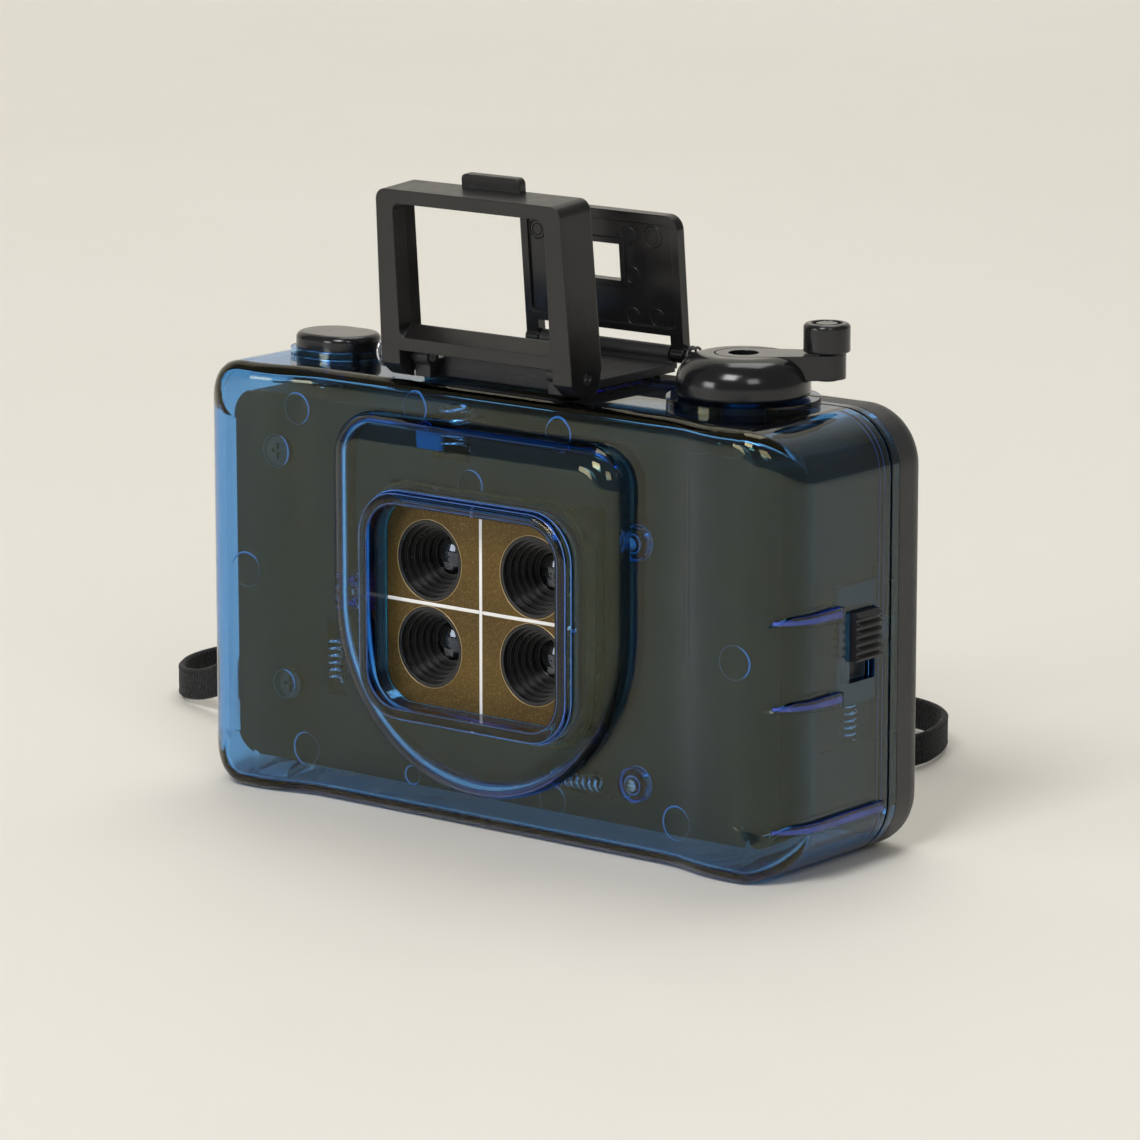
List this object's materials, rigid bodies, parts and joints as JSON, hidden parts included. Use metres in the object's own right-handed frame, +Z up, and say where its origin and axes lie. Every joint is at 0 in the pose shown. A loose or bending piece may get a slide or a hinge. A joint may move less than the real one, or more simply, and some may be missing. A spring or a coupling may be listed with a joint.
{
  "type": "multi-lens film camera",
  "caption": "Compact film camera with a grid of small lenses, a clear tinted front shell, fold-up frame finder, rewind crank, sprung shutter button and hinged back.",
  "frame": {"origin": "on the base face, midway across the body and midway through its depth", "axes": "+X across the camera towards the rewind crank, -Y out of the lenses, +Z up"},
  "size_m": [0.1462, 0.0927, 0.0893],
  "materials": {
    "blue_shell": "clear tinted blue, glossy",
    "bronze_plate": "dark bronze with fine speckle",
    "black_inner": "matt",
    "shutter_steel": "blackened",
    "black_back": "fine grain",
    "plate_steel": "satin black",
    "spring_steel": "bright wire",
    "black_trim": "satin",
    "black_knob": "satin gloss",
    "pin_steel": "bright",
    "screw_steel": "bright plated",
    "black_transport": "satin",
    "dial_white": "matt",
    "black_finder": "satin",
    "strap_webbing": "woven",
    "black_barrel": "matt",
    "lens_glass": "polished"
  },
  "bodies": {
    "camera": {"front_shell": "blue_shell", "lens_plate": "bronze_plate", "lens_board": "black_inner", "lens_barrel_1": "black_barrel", "lens_barrel_2": "black_barrel", "lens_barrel_3": "black_barrel", "lens_barrel_4": "black_barrel", "lens_element_1": "lens_glass", "lens_element_2": "lens_glass", "lens_element_3": "lens_glass", "lens_element_4": "lens_glass", "chassis": "black_inner", "picture_divider": "black_inner", "rewind_sleeve": "black_trim", "counter_pin": "pin_steel", "finder_base": "black_finder", "back_hinge_pin": "pin_steel", "finder_front_pin": "pin_steel", "finder_rear_pin": "pin_steel", "case_screws": "screw_steel", "chassis_screws": "screw_steel", "button_spring": "spring_steel", "release_spring": "spring_steel", "latch_spring": "spring_steel", "shutter_spring_left": "spring_steel", "shutter_spring_top": "spring_steel", "shutter_spring_low": "spring_steel", "finder_front_spring": "spring_steel", "finder_rear_spring": "spring_steel"},
    "back": {"rear_cover": "black_back", "strap_bar": "pin_steel", "strap": "strap_webbing", "pressure_plate": "plate_steel", "pressure_spring": "spring_steel"},
    "latch": {"latch_slide": "black_trim"},
    "button": {"shutter_button": "black_knob"},
    "release": {"rewind_release": "black_trim"},
    "disc": {"shutter_disc": "shutter_steel"},
    "frame": {"finder_front_frame": "black_finder"},
    "sight": {"finder_rear_sight": "black_finder"},
    "rewind": {"rewind_knob": "black_knob", "crank_arm": "black_trim", "crank_screw": "screw_steel", "crank_pin": "pin_steel", "rewind_shaft": "pin_steel"},
    "handle": {"crank_handle": "black_knob"},
    "spool": {"take_up_spool": "black_transport", "wind_wheel": "black_transport"},
    "sprocket": {"sprocket": "black_transport"},
    "dial": {"counter_dial": "dial_white"}
  },
  "joints": [
    {"name": "back_hinge", "type": "hinge", "parent": "camera", "child": "back", "pos_m": [-0.0529, 0.0097, 0.0302], "axis": [0, 0, 1], "range_deg": [0, 95]},
    {"name": "latch_slide", "type": "slide", "parent": "camera", "child": "latch", "axis": [0, 0, -1], "range_m": [0, 0.0027], "stiffness_N_per_m": 120, "deforming": ["latch_spring"]},
    {"name": "shutter_press", "type": "slide", "parent": "camera", "child": "button", "axis": [0, 0, -1], "range_m": [0, 0.0012], "stiffness_N_per_m": 250, "deforming": ["button_spring"]},
    {"name": "release_press", "type": "slide", "parent": "camera", "child": "release", "axis": [0, 0, 1], "range_m": [0, 0.0007], "stiffness_N_per_m": 200, "deforming": ["release_spring"]},
    {"name": "shutter_spin", "type": "hinge", "parent": "camera", "child": "disc", "pos_m": [0, -0.0072, 0.0306], "axis": [0, -1, 0], "continuous": true},
    {"name": "finder_frame_fold", "type": "hinge", "parent": "camera", "child": "frame", "pos_m": [-0.0018, -0.0104, 0.0636], "axis": [-1, 0, 0], "range_deg": [0, 62.5], "stiffness_Nm_per_rad": 0.002, "springref_deg": -28.65},
    {"name": "finder_sight_fold", "type": "hinge", "parent": "camera", "child": "sight", "pos_m": [-0.0018, 0.01485, 0.063], "axis": [1, 0, 0], "range_deg": [0, 84.5], "stiffness_Nm_per_rad": 0.001, "springref_deg": -28.65},
    {"name": "rewind_spin", "type": "hinge", "parent": "camera", "child": "rewind", "pos_m": [0.031, 0.0023, 0.064], "axis": [0, 0, 1], "continuous": true},
    {"name": "handle_spin", "type": "hinge", "parent": "rewind", "child": "handle", "pos_m": [0.0399, 0.00877, 0.069], "axis": [0, 0, 1], "continuous": true},
    {"name": "spool_spin", "type": "hinge", "parent": "camera", "child": "spool", "pos_m": [-0.035, 0.0049, 0.03], "axis": [0, 0, 1], "continuous": true},
    {"name": "sprocket_spin", "type": "hinge", "parent": "camera", "child": "sprocket", "pos_m": [-0.0247, 0.005, 0.0306], "axis": [0, 0, 1], "continuous": true},
    {"name": "dial_spin", "type": "hinge", "parent": "camera", "child": "dial", "pos_m": [-0.03145, -0.00175, 0.003], "axis": [0, 0, 1], "continuous": true}
  ],
  "couplings": [
    {"joint": "dial_spin", "follows": "sprocket_spin", "ratio": -0.027778}
  ]
}
